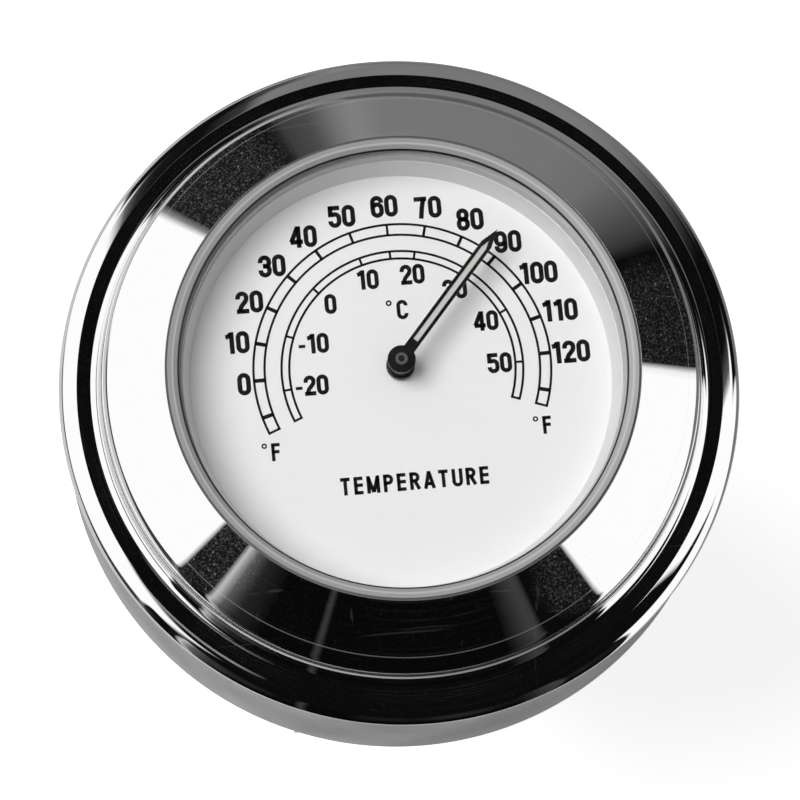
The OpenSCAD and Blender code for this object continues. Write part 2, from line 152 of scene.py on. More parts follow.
# Text, height, radius and place of each unit sign, in degrees clockwise from twelve
UNIT_SIGNS = [("oC", 1.6, 4.8, 0.2), ("oF", 1.45, 12.6, -118.5), ("oF", 1.45, 12.1, 117.7)]

# Camera
CAMERA_DISTANCE = 300.0
CAMERA_TILT = math.radians(13.3)
CAMERA_LEAN = math.radians(80.0)
DIAL_UP = math.radians(95.5)
CAMERA_LENS = 167.5
PICTURE = 800.0
RIM_IN_PICTURE = (400.4, 385.1)


def camera():
    """Stands where the photograph was taken: a little below and to the left of the dial's axis."""
    axis = Vector((
        math.sin(CAMERA_TILT) * math.cos(CAMERA_LEAN),
        math.sin(CAMERA_TILT) * math.sin(CAMERA_LEAN),
        math.cos(CAMERA_TILT),
    ))
    twelve = Vector((math.cos(DIAL_UP), math.sin(DIAL_UP), 0))
    twelve.z = -twelve.dot(axis) / axis.z
    twelve.normalize()
    three = twelve.cross(axis)
    to_row = Matrix((three, twelve, axis))
    data = bpy.data.cameras.new("camera")
    data.lens = CAMERA_LENS
    data.shift_x = (PICTURE / 2 - RIM_IN_PICTURE[0]) / PICTURE
    data.shift_y = (RIM_IN_PICTURE[1] - PICTURE / 2) / PICTURE
    obj = bpy.data.objects.new("camera", data)
    bpy.context.scene.collection.objects.link(obj)
    place = Vector((0, 0, RIM_Z * MM)) + to_row @ Vector((0, 0, CAMERA_DISTANCE * MM))
    obj.matrix_world = Matrix.Translation(place) @ to_row.to_4x4()
    bpy.context.scene.camera = obj
    bpy.context.scene.view_settings.view_transform = "Standard"


# Modelling by hand

def deselect():
    bpy.ops.object.select_all(action="DESELECT")


def named(name):
    obj = bpy.context.object
    obj.name = name
    obj.data.name = name
    return obj


def editing(mode="VERT"):
    bpy.ops.object.mode_set(mode="EDIT")
    bpy.ops.mesh.select_mode(type=mode)


def leave():
    bpy.ops.object.mode_set(mode="OBJECT")


def apply_place():
    bpy.ops.object.transform_apply(location=True, rotation=True, scale=True)


def merge(distance=0.0005):
    bpy.ops.mesh.select_all(action="SELECT")
    bpy.ops.mesh.remove_doubles(threshold=distance * MM)


def face_outwards():
    bpy.ops.mesh.select_all(action="SELECT")
    bpy.ops.mesh.normals_make_consistent(inside=False)


def smooth(angle=30.0):
    bpy.ops.object.shade_smooth_by_angle(angle=math.radians(angle))


def select(*objects):
    """Selects these pieces only, with the first one active."""
    deselect()
    for obj in objects:
        obj.select_set(True)
    bpy.context.view_layer.objects.active = objects[0]


def twin(obj):
    """A copy of a piece, with a mesh of its own."""
    made = obj.copy()
    made.data = obj.data.copy()
    bpy.context.scene.collection.objects.link(made)
    return made


def join(parts, name):
    select(*parts)
    bpy.ops.object.join()
    return named(name)


def finish_piece(obj, body, slot, material, *replaced):
    obj.data.materials.clear()
    obj.data.materials.append(material)
    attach(obj, body)
    if replaced:
        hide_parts(*replaced)
    return obj


def rounded(corners, step=7.5, hold=0.05):
    """Points of a turned section: each corner (radius, height, round) becomes an arc with a holding point
    on either side, so that the flat stretches between them stay flat when shaded smooth."""
    points = []
    count = len(corners)
    for i, (x, z, r) in enumerate(corners):
        here = Vector((x, z))
        before = (Vector(corners[i - 1][:2]) - here).normalized()
        after = (Vector(corners[(i + 1) % count][:2]) - here).normalized()
        opening = before.angle(after)
        if r <= 0 or opening > math.radians(179):
            points.append(here)
            continue
        reach = r / math.tan(opening / 2)
        centre = here + (before + after).normalized() * (r / math.sin(opening / 2))
        start = here + before * reach - centre
        sweep = math.pi - opening
        side = 1 if before.x * after.y - before.y * after.x < 0 else -1
        steps = max(2, round(math.degrees(sweep) / step))
        if reach + hold < (Vector(corners[i - 1][:2]) - here).length / 2:
            points.append(here + before * (reach + hold))
        for k in range(steps + 1):
            turn = Matrix.Rotation(side * sweep * k / steps, 2)
            points.append(centre + turn @ start)
        if reach + hold < (Vector(corners[(i + 1) % count][:2]) - here).length / 2:
            points.append(here + after * (reach + hold))
    return points


def draw_line(name, points):
    """Draws a closed line by extruding one point from place to place, and stays in edit mode."""
    deselect()
    bpy.ops.mesh.primitive_plane_add(size=MM, location=points[0] * MM)
    obj = named(name)
    apply_place()
    editing()
    bpy.ops.mesh.select_all(action="SELECT")
    bpy.ops.mesh.merge(type="CENTER")
    for here, there in zip(points, points[1:] + points[:1]):
        bpy.ops.mesh.extrude_region_move(TRANSFORM_OT_translate={"value": (there - here) * MM})
    bpy.ops.mesh.select_all(action="SELECT")
    return obj


def lathe(name, section, steps=TURN_STEPS, centre_y=0.0):
    """Draws a section in the XZ plane and spins it once round."""
    obj = draw_line(name, [Vector((point.x, centre_y, point.y)) for point in section])
    axis_at = (0, centre_y * MM, 0)
    bpy.ops.mesh.spin(steps=steps, angle=2 * math.pi, center=axis_at, axis=(0, 0, 1))
    merge()
    face_outwards()
    leave()
    smooth()
    return obj


def pulled(name, outline, width, edge):
    """Draws an outline in the YZ plane, fills it, pulls it out along the bar and rounds its two rims."""
    obj = draw_line(name, [Vector((-width / 2, point.x, point.y)) for point in outline])
    merge()
    bpy.ops.mesh.edge_face_add()
    bpy.ops.mesh.extrude_region_move(TRANSFORM_OT_translate={"value": (width * MM, 0, 0)})
    face_outwards()
    bpy.ops.mesh.select_all(action="DESELECT")
    leave()
    for face in obj.data.polygons:
        face.select = abs(face.normal.x) > 0.9
    editing("FACE")
    bpy.ops.mesh.region_to_loop()
    bpy.ops.mesh.bevel(offset=edge * MM, segments=4, affect="EDGES")
    leave()
    return obj


def change_by(obj, tool, operation):
    """Cuts a tool out of a piece, or fuses it on, and takes the tool away."""
    change = obj.modifiers.new("change", "BOOLEAN")
    change.operation = operation
    change.object = tool
    bpy.context.view_layer.objects.active = obj
    bpy.ops.object.modifier_apply(modifier=change.name)
    bpy.data.objects.remove(tool)


def even_shading(obj):
    """Keeps flat faces flat beside rounded edges."""
    select(obj)
    smooth()
    weights = obj.modifiers.new("weights", "WEIGHTED_NORMAL")
    weights.keep_sharp = True
    bpy.ops.object.modifier_apply(modifier=weights.name)


def bar_cutter(radius, middle_x, length):
    deselect()
    turn = (0, math.radians(90), 0)
    place = (middle_x * MM, 0, 0)
    bpy.ops.mesh.primitive_cylinder_add(
        vertices=128, radius=radius * MM, depth=length * MM, location=place, rotation=turn)
    apply_place()
    return bpy.context.object


# Shared effects, each a node group that gives masks and heights

def node_group(name, inputs, outputs):
    tree = bpy.data.node_groups.new(name, "ShaderNodeTree")
    for socket, value in inputs:
        made = tree.interface.new_socket(socket, in_out="INPUT", socket_type="NodeSocketFloat")
        made.default_value = value
    for socket in outputs:
        tree.interface.new_socket(socket, in_out="OUTPUT", socket_type="NodeSocketFloat")
    return tree, tree.nodes.new("NodeGroupInput"), tree.nodes.new("NodeGroupOutput")


def feed(tree, value, socket):
    """Sets a socket to a number or a colour, or links it to the output of another node."""
    if isinstance(value, tuple):
        socket.default_value = (*value, 1)
    elif isinstance(value, (int, float)):
        socket.default_value = value
    else:
        tree.links.new(value, socket)


def math_node(tree, operation, a, b=None, clamp=False):
    made = tree.nodes.new("ShaderNodeMath")
    made.operation = operation
    made.use_clamp = clamp
    feed(tree, a, made.inputs[0])
    if b is not None:
        feed(tree, b, made.inputs[1])
    return made.outputs[0]


def ramp(tree, value, low, high, bottom=0.0, top=1.0):
    made = tree.nodes.new("ShaderNodeMapRange")
    tree.links.new(value, made.inputs["Value"])
    made.inputs["From Min"].default_value = low
    made.inputs["From Max"].default_value = high
    made.inputs["To Min"].default_value = bottom
    made.inputs["To Max"].default_value = top
    return made.outputs["Result"]


def noise(tree, vector, scale, detail=2.0, rough=0.5):
    made = tree.nodes.new("ShaderNodeTexNoise")
    feed(tree, scale, made.inputs["Scale"])
    made.inputs["Detail"].default_value = detail
    made.inputs["Roughness"].default_value = rough
    tree.links.new(vector, made.inputs["Vector"])
    return made.outputs["Fac"]


def object_place(tree):
    return tree.nodes.new("ShaderNodeTexCoord").outputs["Object"]


def stretched(tree, vector, scale, turn=(0, 0, 0)):
    made = tree.nodes.new("ShaderNodeMapping")
    made.inputs["Scale"].default_value = scale
    made.inputs["Rotation"].default_value = [math.radians(a) for a in turn]
    tree.links.new(vector, made.inputs["Vector"])
    return made.outputs["Vector"]


def place_in_mm(tree):
    return stretched(tree, object_place(tree), (1000, 1000, 1000))


def split_axes(tree, vector):
    made = tree.nodes.new("ShaderNodeSeparateXYZ")
    tree.links.new(vector, made.inputs["Vector"])
    return made.outputs


def axis_distance(tree, axes):
    """How far a place is from the dial's axis."""
    across = math_node(tree, "MULTIPLY", axes["X"], axes["X"])
    along = math_node(tree, "MULTIPLY", axes["Y"], axes["Y"])
    return math_node(tree, "SQRT", math_node(tree, "ADD", across, along))


# Direction in degrees and stretch of each set of hairlines
HAIRLINES = [
    ((20, 0, 35), (30, 2200, 900)),
    ((0, 40, -50), (1800, 40, 700)),
    ((10, 0, 80), (60, 2600, 50)),
]

# How fast the edge of a band fades, per mm, and the edge of a patch, per reach
BAND_FADE = 40.0
PATCH_FADE = 2.5


def make_scratches():
    """Hairlines in three directions. Mask is 1 on a hairline."""
    tree, given, result = node_group("hairline_scratches", [("Scale", 1.0), ("Amount", 0.5)], ["Mask"])
    place = object_place(tree)
    masks = []
    for turn, stretch in HAIRLINES:
        streak = noise(tree, stretched(tree, place, stretch, turn), given.outputs["Scale"], 1.0)
        masks.append(ramp(tree, streak, 0.72, 0.78))
    both = math_node(tree, "MAXIMUM", masks[0], masks[1])
    all_three = math_node(tree, "MAXIMUM", both, masks[2])
    amount = math_node(tree, "MULTIPLY", all_three, given.outputs["Amount"], True)
    tree.links.new(amount, result.inputs["Mask"])
    return tree


def make_dust():
    """Specks and a cloudy film. Specks is 1 on a speck, Film runs from 0 to 1."""
    wanted = [("Speck Scale", 900.0), ("Amount", 0.5)]
    tree, given, result = node_group("dust_and_film", wanted, ["Specks", "Film"])
    place = object_place(tree)
    cells = tree.nodes.new("ShaderNodeTexVoronoi")
    cells.inputs["Randomness"].default_value = 1.0
    tree.links.new(given.outputs["Speck Scale"], cells.inputs["Scale"])
    tree.links.new(place, cells.inputs["Vector"])
    near = ramp(tree, cells.outputs["Distance"], 0.12, 0.24, 1.0, 0.0)
    chosen = tree.nodes.new("ShaderNodeSeparateColor")
    tree.links.new(cells.outputs["Color"], chosen.inputs["Color"])
    rare = ramp(tree, chosen.outputs["Red"], 0.35, 1.0)
    specks = math_node(tree, "MULTIPLY", near, rare)
    cloud = ramp(tree, noise(tree, place, 120.0, 4.0, 0.6), 0.35, 0.7)
    for name, mask in (("Specks", specks), ("Film", cloud)):
        amount = math_node(tree, "MULTIPLY", mask, given.outputs["Amount"], True)
        tree.links.new(amount, result.inputs[name])
    return tree


def make_turning():
    """Fine broken rings left by polishing round the dial's axis. Lines is 1 on a ring."""
    tree, given, result = node_group("polishing_rings", [("Rings per mm", 8.0)], ["Lines"])
    axes = split_axes(tree, object_place(tree))
    path = math_node(tree, "ADD", axis_distance(tree, axes), axes["Z"])
    line = tree.nodes.new("ShaderNodeCombineXYZ")
    tree.links.new(math_node(tree, "MULTIPLY", path, 1000.0), line.inputs["X"])
    steps = noise(tree, line.outputs["Vector"], given.outputs["Rings per mm"], 3.0)
    rings = ramp(tree, steps, 0.52, 0.72)
    broken = ramp(tree, noise(tree, object_place(tree), 90.0, 3.0, 0.6), 0.4, 0.7)
    tree.links.new(math_node(tree, "MULTIPLY", rings, broken, True), result.inputs["Lines"])
    return tree


def make_grain():
    """Fine even grain, as a height and a mask for colour."""
    tree, given, result = node_group("surface_grain", [("Scale", 3000.0)], ["Height", "Mottle"])
    place = object_place(tree)
    tree.links.new(noise(tree, place, given.outputs["Scale"], 3.0, 0.6), result.inputs["Height"])
    broad = math_node(tree, "MULTIPLY", given.outputs["Scale"], 0.05)
    tree.links.new(ramp(tree, noise(tree, place, broad, 3.0), 0.3, 0.7), result.inputs["Mottle"])
    return tree


def make_band():
    """A band round the dial's axis: 1 within Half Width of Radius and Half Height of Height, in mm."""
    wanted = [("Radius", 20.0), ("Half Width", 1.0), ("Height", 40.0), ("Half Height", 1.0)]
    tree, given, result = node_group("band_round_axis", wanted, ["Mask"])
    axes = split_axes(tree, place_in_mm(tree))
    radius = axis_distance(tree, axes)
    limits = ((radius, "Radius", "Half Width"), (axes["Z"], "Height", "Half Height"))
    masks = []
    for value, middle, half in limits:
        off = math_node(tree, "ABSOLUTE", math_node(tree, "SUBTRACT", value, given.outputs[middle]))
        inside = math_node(tree, "SUBTRACT", given.outputs[half], off)
        masks.append(math_node(tree, "MULTIPLY", inside, BAND_FADE, True))
    tree.links.new(math_node(tree, "MULTIPLY", masks[0], masks[1]), result.inputs["Mask"])
    return tree


def make_patch():
    """A soft round patch about a place given in mm: 1 in the middle, 0 beyond Reach."""
    wanted = [("X", 0.0), ("Y", 0.0), ("Z", 0.0), ("Reach", 5.0)]
    tree, given, result = node_group("soft_patch", wanted, ["Mask"])
    middle = tree.nodes.new("ShaderNodeCombineXYZ")
    for axis in "XYZ":
        tree.links.new(given.outputs[axis], middle.inputs[axis])
    apart = tree.nodes.new("ShaderNodeVectorMath")
    apart.operation = "DISTANCE"
    tree.links.new(place_in_mm(tree), apart.inputs[0])
    tree.links.new(middle.outputs["Vector"], apart.inputs[1])
    share = math_node(tree, "DIVIDE", apart.outputs["Value"], given.outputs["Reach"])
    near = math_node(tree, "SUBTRACT", 1.0, share)
    tree.links.new(math_node(tree, "MULTIPLY", near, PATCH_FADE, True), result.inputs["Mask"])
    return tree


SCRATCHES = make_scratches()
DUST = make_dust()
TURNING = make_turning()
GRAIN = make_grain()
BAND = make_band()
PATCH = make_patch()


def place_group(tree, group, **values):
    """Places a shared effect, with an underscore in a name for each space in its socket."""
    made = tree.nodes.new("ShaderNodeGroup")
    made.node_tree = group
    for socket, value in values.items():
        made.inputs[socket.replace("_", " ")].default_value = value
    return made


def new_material(name, colour, metallic=0.0, rough=0.5):
    material = bpy.data.materials.new(name)
    material.use_nodes = True
    tree = material.node_tree
    shader = tree.nodes["Principled BSDF"]
    feed(tree, colour, shader.inputs["Base Color"])
    shader.inputs["Metallic"].default_value = metallic
    shader.inputs["Roughness"].default_value = rough
    return material, tree, shader


def bump(tree, shader, height, strength, distance):
    made = tree.nodes.new("ShaderNodeBump")
    made.inputs["Strength"].default_value = strength
    made.inputs["Distance"].default_value = distance * MM
    tree.links.new(height, made.inputs["Height"])
    tree.links.new(made.outputs["Normal"], shader.inputs["Normal"])


def mixed(tree, factor, one, two, kind="FLOAT"):
    made = tree.nodes.new("ShaderNodeMix")
    made.data_type = kind
    tree.links.new(factor, made.inputs["Factor"])
    feed(tree, one, made.inputs["A"])
    feed(tree, two, made.inputs["B"])
    return made.outputs["Result"]


def blend_colour(tree, shader, factor, one, two):
    tree.links.new(mixed(tree, factor, one, two, "RGBA"), shader.inputs["Base Color"])


# Where the ring is worn or painted with light or shade, in mm: radius, half width, height and half height
# of each band
BANDS = {
    "crest": (24.05, 0.11, 34.85, 0.1),
    "lip": (18.24, 0.54, 39.8, 0.5),
    "crown": (18.2, 0.1, 40.05, 0.15),
    "edge": (17.76, 0.09, 39.7, 0.4),
    "groove": (18.68, 0.09, 39.8, 0.14),
    "foot": (22.85, 0.05, 37.25, 0.4),
}
# Share of the shine that is gone in a band, and the grey that shows instead. The lip's grey is wear,
# the crest's and the crown's grey is a painted highlight, the groove's and the edge's grey painted shade.
WORN_AND_PAINTED_LIGHT = [
    ("lip", 0.75, 0.4),
    ("crown", 0.9, 0.5),
    ("crest", 0.9, 0.55),
    ("edge", 1.0, 0.01),
    ("groove", 0.85, 0.16),
]
FOOT_WORN = 0.12

# Radius, angle in degrees and reach of each dusty place, and the height of all
DUSTY_PLACES = [(20.8, 128, 6.5), (21.5, 6, 6.0), (20.8, 219, 4.5), (20.9, 305, 4.2)]
DUSTY_Z = 38.5
DUST_ELSEWHERE = 0.04

# One smeared place on the roll, with two lines: radius and share of each, then half width, height and
# half height of both
SMEAR_AT = (-18.7, -18.5, 33.5)
SMEAR_REACH = 7.5
SMEAR_LINES = [(26.3, 0.26), (24.95, 0.12)]
SMEAR_SIZES = (0.09, 33.4, 0.6)


def band(tree, radius, half_width, height, half_height):
    sizes = {"Radius": radius, "Half_Width": half_width, "Height": height, "Half_Height": half_height}
    return place_group(tree, BAND, **sizes).outputs["Mask"]


def patch(tree, x, y, z, reach):
    return place_group(tree, PATCH, X=x, Y=y, Z=z, Reach=reach).outputs["Mask"]


def dusty_share(tree):
    """How dusty the ring is: much in a few places and hardly anywhere else."""
    share = DUST_ELSEWHERE
    for radius, angle, reach in DUSTY_PLACES:
        x = radius * math.cos(math.radians(angle))
        y = radius * math.sin(math.radians(angle))
        share = math_node(tree, "MAXIMUM", patch(tree, x, y, DUSTY_Z, reach), share)
    return share


def chrome():
    """Polished plate, worn dull on the inner lip, dusty in a few places, with a painted highlight on the
    crest and the crown and painted shade in the groove and at the window's edge.
    """
    plate = (0.93, 0.93, 0.93)
    material, tree, shader = new_material("polished_chrome", plate, 1.0, 0.03)
    scratches = place_group(tree, SCRATCHES, Scale=1.0, Amount=0.5).outputs["Mask"]
    dust = place_group(tree, DUST, Speck_Scale=2600.0, Amount=1.0)
    bands = {name: band(tree, *sizes) for name, sizes in BANDS.items()}
    turning = place_group(tree, TURNING, Rings_per_mm=9.0)
    grain = place_group(tree, GRAIN, Scale=5200.0)

    film = ramp(tree, dust.outputs["Film"], 0.0, 1.0, 0.006, 0.025)
    hair = math_node(tree, "MULTIPLY", scratches, 0.12)
    # Rougher on the crest, under its painted highlight, and on the worn lip
    dulled = math_node(tree, "MULTIPLY", bands["crest"], 0.5)
    dull = math_node(tree, "MULTIPLY", bands["lip"], 0.45)
    polish = math_node(tree, "ADD", film, hair)
    rough = math_node(tree, "ADD", polish, math_node(tree, "ADD", dulled, dull))
    tree.links.new(rough, shader.inputs["Roughness"])

    coarse = math_node(tree, "MULTIPLY", dust.outputs["Specks"], 0.22)
    fine = ramp(tree, grain.outputs["Height"], 0.48, 0.7, 0.005, 0.08)
    specks = math_node(tree, "MULTIPLY", math_node(tree, "ADD", coarse, fine), dusty_share(tree))
    rings = math_node(tree, "MULTIPLY", turning.outputs["Lines"], 0.04)
    lines = math_node(tree, "MAXIMUM", rings, math_node(tree, "MULTIPLY", scratches, 0.04))
    gone = math_node(tree, "MULTIPLY", bands["foot"], FOOT_WORN)
    smeared = patch(tree, *SMEAR_AT, SMEAR_REACH)
    for radius, share in SMEAR_LINES:
        streak = math_node(tree, "MULTIPLY", band(tree, radius, *SMEAR_SIZES), smeared)
        gone = math_node(tree, "MAXIMUM", gone, math_node(tree, "MULTIPLY", streak, share))
    colour = plate
    # Wear greys the lip; the crest's and crown's grey is a painted highlight, the groove's and edge's
    # painted shade
    for name, share, grey in WORN_AND_PAINTED_LIGHT:
        gone = math_node(tree, "MAXIMUM", gone, math_node(tree, "MULTIPLY", bands[name], share))
        colour = mixed(tree, bands[name], colour, (grey, grey, grey), "RGBA")
    gone = math_node(tree, "ADD", math_node(tree, "ADD", specks, lines), gone)
    tree.links.new(math_node(tree, "SUBTRACT", 1.0, gone, True), shader.inputs["Metallic"])
    tree.links.new(colour, shader.inputs["Base Color"])
    return material


def satin_chrome(name, colour, shade, rough):
    """Plating over a tumbled casting, duller than the bezel."""
    material, tree, shader = new_material(name, colour, 1.0, rough)
    grain = place_group(tree, GRAIN, Scale=2500.0)
    dust = place_group(tree, DUST, Speck_Scale=600.0, Amount=0.8)
    scratches = place_group(tree, SCRATCHES, Scale=1.0, Amount=0.6)
    base = ramp(tree, grain.outputs["Mottle"], 0.0, 1.0, rough - 0.05, rough + 0.05)
    dulled = math_node(tree, "MULTIPLY", scratches.outputs["Mask"], 0.15)
    tree.links.new(math_node(tree, "ADD", base, dulled), shader.inputs["Roughness"])
    blend_colour(tree, shader, dust.outputs["Film"], colour, shade)
    bump(tree, shader, grain.outputs["Height"], 0.15, 0.01)
    return material


def window_glass():
    """Clear glass with a thin film of dust."""
    material, tree, shader = new_material("window_glass", (1, 1, 1), 0.0, 0.0)
    shader.inputs["Transmission Weight"].default_value = 1.0
    shader.inputs["IOR"].default_value = 1.5
    dust = place_group(tree, DUST, Speck_Scale=260.0, Amount=1.0)
    tree.links.new(math_node(tree, "MULTIPLY", dust.outputs["Film"], 0.02), shader.inputs["Roughness"])
    return material


def painted(name, colour, shade, rough, grain_scale=2500.0, strength=0.1, sheen=0.5):
    """Paint, ink, plastic or rubber: a mottled colour, a few specks and a fine grain."""
    material, tree, shader = new_material(name, colour, 0.0, rough)
    shader.inputs["Specular IOR Level"].default_value = sheen
    grain = place_group(tree, GRAIN, Scale=grain_scale)
    dust = place_group(tree, DUST, Speck_Scale=500.0, Amount=0.7)
    mottle = grain.outputs["Mottle"]
    cloudy = math_node(tree, "MULTIPLY", mottle, 0.5)
    darker = math_node(tree, "MAXIMUM", cloudy, dust.outputs["Specks"])
    blend_colour(tree, shader, darker, colour, shade)
    base = ramp(tree, mottle, 0.0, 1.0, rough - 0.06, rough + 0.06)
    tree.links.new(base, shader.inputs["Roughness"])
    bump(tree, shader, grain.outputs["Height"], strength, 0.02)
    return material


def metal(name, colour, shade, rough):
    """Turned or stamped metal with hairlines and a little tarnish."""
    material, tree, shader = new_material(name, colour, 1.0, rough)
    grain = place_group(tree, GRAIN, Scale=2000.0)
    scratches = place_group(tree, SCRATCHES, Scale=1.0, Amount=0.8)
    blend_colour(tree, shader, grain.outputs["Mottle"], colour, shade)
    dulled = math_node(tree, "MULTIPLY", scratches.outputs["Mask"], 0.2)
    base = ramp(tree, grain.outputs["Mottle"], 0.0, 1.0, rough - 0.05, rough + 0.08)
    tree.links.new(math_node(tree, "ADD", base, dulled), shader.inputs["Roughness"])
    bump(tree, shader, grain.outputs["Height"], 0.1, 0.01)
    return material


CHROME = chrome()
# The cup's grey is darker than the clamp's: painted shade, for the shaded floor that its side mirrors
SHADED_CUP_CHROME = satin_chrome("cup_chrome_painted_shade", (0.365, 0.365, 0.37), (0.325, 0.325, 0.33), 0.36)
CLAMP_CHROME = satin_chrome("clamp_chrome", (0.74, 0.74, 0.745), (0.66, 0.66, 0.665), 0.28)
GLASS = window_glass()
GASKET = painted("grey_gasket", (0.55, 0.55, 0.55), (0.48, 0.48, 0.48), 0.6)
DIAL_WHITE = painted("dial_white", (0.88, 0.88, 0.878), (0.86, 0.86, 0.858), 0.45, 1800.0, 0.04)
WHITE_PLASTIC = painted("white_plastic", (0.74, 0.74, 0.74), (0.7, 0.7, 0.7), 0.5)
INK = painted("black_ink", (0.006, 0.006, 0.006), (0.012, 0.012, 0.012), 0.5, 4000.0, 0.1, 0.1)
BLACK_PAINT = painted("black_paint", (0.006, 0.006, 0.006), (0.018, 0.018, 0.018), 0.28, 3500.0, 0.1, 0.2)
PALE_PAINT = painted("pale_paint", (0.66, 0.66, 0.63), (0.4, 0.4, 0.38), 0.6, 1500.0, 0.3)
BLACK_RUBBER = painted("black_rubber", (0.025, 0.025, 0.026), (0.045, 0.045, 0.045), 0.65, 1500.0, 0.4)
BLACK_PLASTIC = painted("black_plastic", (0.03, 0.03, 0.032), (0.045, 0.045, 0.047), 0.5, 1800.0, 0.25)
STEEL = metal("plain_steel", (0.6, 0.6, 0.61), (0.5, 0.5, 0.51), 0.3)
BRASS = metal("brass", (0.78, 0.6, 0.29), (0.6, 0.43, 0.2), 0.28)
BIMETAL = metal("bimetal_strip", (0.62, 0.52, 0.42), (0.5, 0.4, 0.32), 0.32)


def end_mark(material, z, reach, colour):
    """Puts a round mark on the end of the staff, or on the rivet round it."""
    tree = material.node_tree
    shader = tree.nodes["Principled BSDF"]
    base = shader.inputs["Base Color"].links[0].from_socket
    blend_colour(tree, shader, patch(tree, 0.0, PIVOT_Y, z, reach), base, colour)


STAFF_STEEL = metal("staff_steel", (0.42, 0.42, 0.42), (0.3, 0.3, 0.3), 0.35)
HUB_PAINT = painted("hub_paint", (0.006, 0.006, 0.006), (0.018, 0.018, 0.018), 0.28, 3500.0, 0.1, 0.2)
end_mark(STAFF_STEEL, STAFF_END_Z, 0.34, (0.02, 0.02, 0.02))
end_mark(HUB_PAINT, RIVET_END_Z, 0.62, (0.12, 0.12, 0.12))


# Pieces

def bezel_section():
    crown_out = LIP_R - GROOVE_W
    crown_in = crown_out - CROWN_W
    return rounded([
        (SKIRT_R, SKIRT_Z, 0.1),
        (SKIRT_R, FOOT_Z, 0),
        (BEZEL_R, FOOT_Z, 0.2),
        (BEZEL_R, ROLL_Z - (BEZEL_R - ROLL_IN) * math.tan(ROLL_SLOPE), ROLL_R),
        (ROLL_IN, ROLL_Z, 0.2),
        (CREST_OUT, COVE_Z, COVE_R),
        (CREST_OUT, CREST_Z, CREST_ROUND),
        (SHOULDER_R, CREST_Z, 0.06),
        (SHOULDER_R, CONE_FOOT_Z - (SHOULDER_R - CONE_R) * math.tan(SHOULDER_SLOPE), SHOULDER_ROUND),
        (CONE_R, CONE_FOOT_Z, 0),
        (LIP_R, LIP_Z, 0.03),
        (LIP_R - GROOVE_SLANT, LIP_Z - GROOVE_T, 0.02),
        (crown_out + GROOVE_SLANT, LIP_Z - GROOVE_T, 0.02),
        (crown_out, LIP_Z + CROWN_H, 0.02),
        (crown_in, LIP_Z, 0.02),
        (WINDOW_R + EDGE / 2, LIP_Z - SLOPE_H, 0.03),
        (WINDOW_R, LIP_Z - SLOPE_H - EDGE / 2, 0.03),
        (WINDOW_R, LIP_UNDER_Z, 0.03),
        (SEAT_R, LIP_UNDER_Z, 0),
        (SEAT_R, SEAT_Z, 0),
        (INNER_SLOPE_R, INNER_SLOPE_Z, 0),
        (SKIRT_IN, RIM_Z + EDGE, 0.2),
        (SKIRT_IN, SKIRT_Z, 0.1),
    ])


def make_bezel():
    obj = lathe("turned_bezel", bezel_section())
    finish_piece(obj, "head", "chrome", CHROME, "bezel_ring")


def bolt_hole(side, section):
    """A round cutter at one of the two bolts, from the (radius, height) corners of its section."""
    return lathe("bolt_hole", [Vector(corner) for corner in section], 64, side * BOLT_Y)


def make_cap():
    """Lower half of the clamp: a cast arch with two ears, bored for the liner and the bolts."""
    foot_y = math.sqrt(CAP_R ** 2 - EAR_Z ** 2)
    sweep = 2 * math.asin(foot_y / CAP_R)
    steps = 24
    arch = []
    for k in range(1, steps):
        a = sweep / 2 - sweep * k / steps
        arch.append((CAP_R * math.sin(a), -CAP_R * math.cos(a), 0))
    outline = rounded([
        (-EAR_Y, -HALF_GAP, 0.4),
        (EAR_Y, -HALF_GAP, 0.4),
        (EAR_Y, -EAR_Z, EAR_ROUND),
        (foot_y, -EAR_Z, 0.8),
        *arch,
        (-foot_y, -EAR_Z, 0.8),
        (-EAR_Y, -EAR_Z, EAR_ROUND),
    ])
    cap = pulled("cast_cap", outline, CLAMP_W, CAST_EDGE)
    change_by(cap, bar_cutter(BORE_R, 0, 2 * CLAMP_W), "DIFFERENCE")
    hole = [
        (0, 1),
        (BOLT_HOLE_R, 1),
        (BOLT_HOLE_R, HEAD_HOLE_Z),
        (HEAD_HOLE_R, HEAD_HOLE_Z),
        (HEAD_HOLE_R, -CAP_R),
        (0, -CAP_R),
    ]
    for side in (-1, 1):
        change_by(cap, bolt_hole(side, hole), "DIFFERENCE")
    even_shading(cap)
    finish_piece(cap, "lower_clamp", "chrome", CLAMP_CHROME, "clamp_cap")


